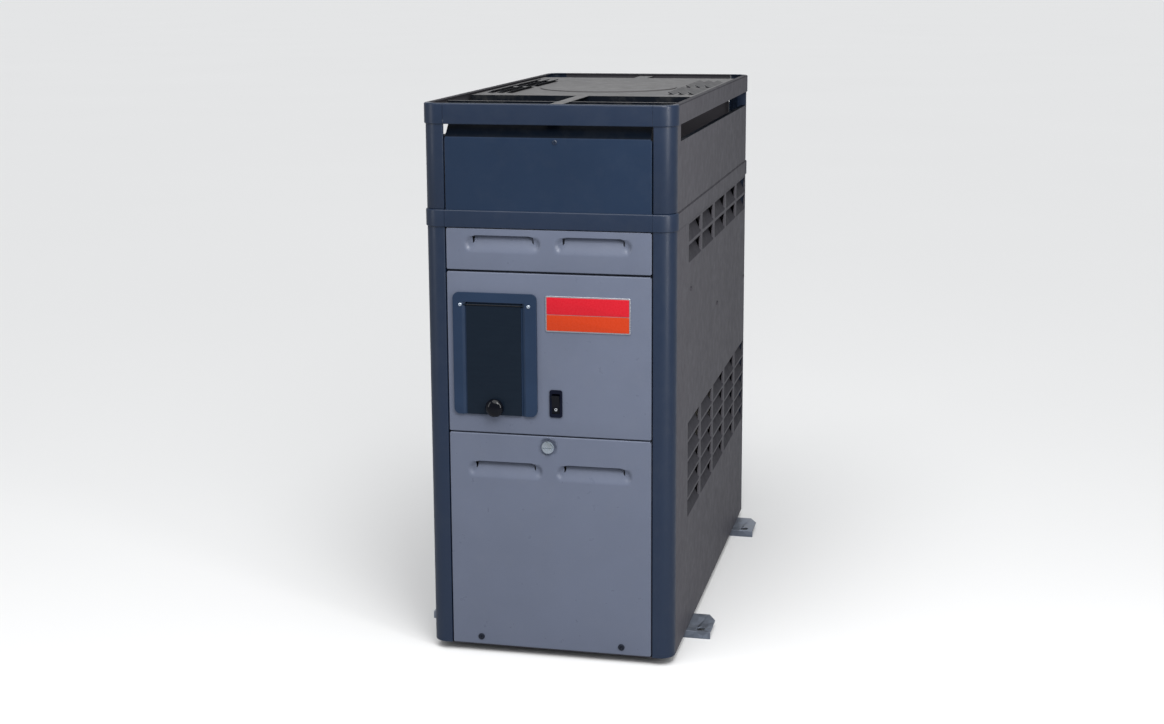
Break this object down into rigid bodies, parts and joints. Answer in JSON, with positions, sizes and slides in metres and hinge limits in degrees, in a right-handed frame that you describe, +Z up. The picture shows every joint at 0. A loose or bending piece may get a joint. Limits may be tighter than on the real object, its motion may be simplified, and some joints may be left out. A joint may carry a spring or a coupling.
{
  "type": "gas pool heater",
  "caption": "Tall narrow gas-fired pool water heater: sheet-metal cabinet with louvred sides, lift-off front panels, tinted control flap, vented top and rear water unions.",
  "frame": {"origin": "on the floor, at the middle of the whole object's footprint", "axes": "+X to the right seen from the front (shortest side), -Y towards the front, +Y towards the water connections, +Z up"},
  "size_m": [0.454, 0.876, 0.846],
  "materials": {
    "navy_paint": "satin powder coat",
    "side_paint": "satin powder coat",
    "top_paint": "satin powder coat",
    "front_paint": "satin powder coat",
    "galvanised": "spangled zinc",
    "navy_plastic": "fine-grained moulding",
    "tinted_plastic": "polished, smoke tint",
    "black_gloss": "gloss",
    "black_plastic": "matte",
    "display_glass": "gloss",
    "button_rubber": "matte",
    "badge_enamel": "gloss enamel, silver border",
    "zinc": "bright zinc",
    "dark_steel": "black oxide",
    "stainless": "heat-tinted steel",
    "cast_alloy": "sand-blasted casting",
    "red_plastic": "moulded",
    "brass": "turned",
    "refractory": "ceramic fibre board",
    "copper": "drawn copper",
    "cast_iron": "painted casting",
    "pale_plastic": "moulded",
    "nut_plastic": "moulded, ribbed"
  },
  "bodies": {
    "cabinet": {"base_rail_front": "galvanised", "base_rail_rear": "galvanised", "base_pan": "side_paint", "front_left_post": "navy_paint", "front_right_post": "navy_paint", "rear_left_post": "navy_paint", "rear_right_post": "navy_paint", "collar_corner_caps": "navy_paint", "collar_front_bar": "navy_paint", "collar_rear_bar": "side_paint", "collar_side_bars": "side_paint", "upper_posts": "navy_paint", "top_corner_caps": "navy_paint", "top_front_bar": "navy_paint", "top_rear_bar": "side_paint", "top_side_bars": "side_paint", "top_grille": "top_paint", "flue_cover_disc": "top_paint", "upper_front_panel": "navy_paint", "upper_rear_panel": "side_paint", "upper_left_panel": "side_paint", "upper_right_panel": "side_paint", "left_side_panel": "side_paint", "right_side_panel": "side_paint", "rear_panel": "side_paint", "control_panel": "front_paint", "control_bezel": "navy_plastic", "display_module": "black_plastic", "display_lens": "display_glass", "badge_plate": "badge_enamel", "rocker_housing": "black_plastic", "panel_screws": "zinc", "control_bracket": "galvanised", "ignition_module": "black_plastic", "transformer": "dark_steel", "burner_tray": "galvanised", "burners": "stainless", "gas_manifold": "dark_steel", "gas_valve": "cast_alloy", "gas_inlet_nipple": "dark_steel", "pilot_burner": "brass", "refractory_boards": "refractory", "heat_exchanger_tubes": "copper", "return_header": "cast_iron", "inlet_outlet_header": "cast_iron", "flue_collector": "galvanised", "water_tailpieces": "pale_plastic"},
    "access_door": {"access_door": "front_paint", "door_screws": "dark_steel"},
    "latch_screw": {"latch_screw": "zinc"},
    "front_top_panel": {"front_top_panel": "front_paint"},
    "control_flap": {"control_flap": "tinted_plastic", "flap_knob": "black_gloss"},
    "mode_button": {"mode_button": "button_rubber"},
    "up_button": {"up_button": "button_rubber"},
    "down_button": {"down_button": "button_rubber"},
    "rocker_paddle": {"rocker_paddle": "black_gloss"},
    "gas_valve_knob": {"gas_valve_knob": "red_plastic"},
    "inlet_union_nut": {"inlet_union_nut": "nut_plastic"},
    "outlet_union_nut": {"outlet_union_nut": "nut_plastic"}
  },
  "joints": [
    {"name": "door_pull", "type": "slide", "parent": "cabinet", "child": "access_door", "axis": [0, -1, 0], "range_m": [0, 0.15]},
    {"name": "latch_turn", "type": "hinge", "parent": "access_door", "child": "latch_screw", "pos_m": [-0.002, -0.4205, 0.3333], "axis": [0, -1, 0], "range_deg": [0, 90]},
    {"name": "top_panel_pull", "type": "slide", "parent": "cabinet", "child": "front_top_panel", "axis": [0, -1, 0], "range_m": [0, 0.1]},
    {"name": "flap_hinge", "type": "hinge", "parent": "cabinet", "child": "control_flap", "pos_m": [-0.0829, -0.4228, 0.5475], "axis": [-1, 0, 0], "range_deg": [0, 100]},
    {"name": "mode_press", "type": "slide", "parent": "cabinet", "child": "mode_button", "axis": [0, 1, 0], "range_m": [0, 0.0015], "stiffness_N_per_m": 300},
    {"name": "up_press", "type": "slide", "parent": "cabinet", "child": "up_button", "axis": [0, 1, 0], "range_m": [0, 0.0015], "stiffness_N_per_m": 300},
    {"name": "down_press", "type": "slide", "parent": "cabinet", "child": "down_button", "axis": [0, 1, 0], "range_m": [0, 0.0015], "stiffness_N_per_m": 300},
    {"name": "rocker_tilt", "type": "hinge", "parent": "cabinet", "child": "rocker_paddle", "pos_m": [0.0112, -0.419, 0.4014], "axis": [-1, 0, 0], "range_deg": [0, 14]},
    {"name": "gas_knob_turn", "type": "hinge", "parent": "cabinet", "child": "gas_valve_knob", "pos_m": [-0.044, -0.37, 0.215], "axis": [0, 0, 1], "range_deg": [0, 110]},
    {"name": "inlet_nut_spin", "type": "hinge", "parent": "cabinet", "child": "inlet_union_nut", "pos_m": [0.075, 0.39, 0.482], "axis": [0, 1, 0], "continuous": true},
    {"name": "outlet_nut_spin", "type": "hinge", "parent": "cabinet", "child": "outlet_union_nut", "pos_m": [-0.075, 0.39, 0.482], "axis": [0, 1, 0], "continuous": true}
  ]
}
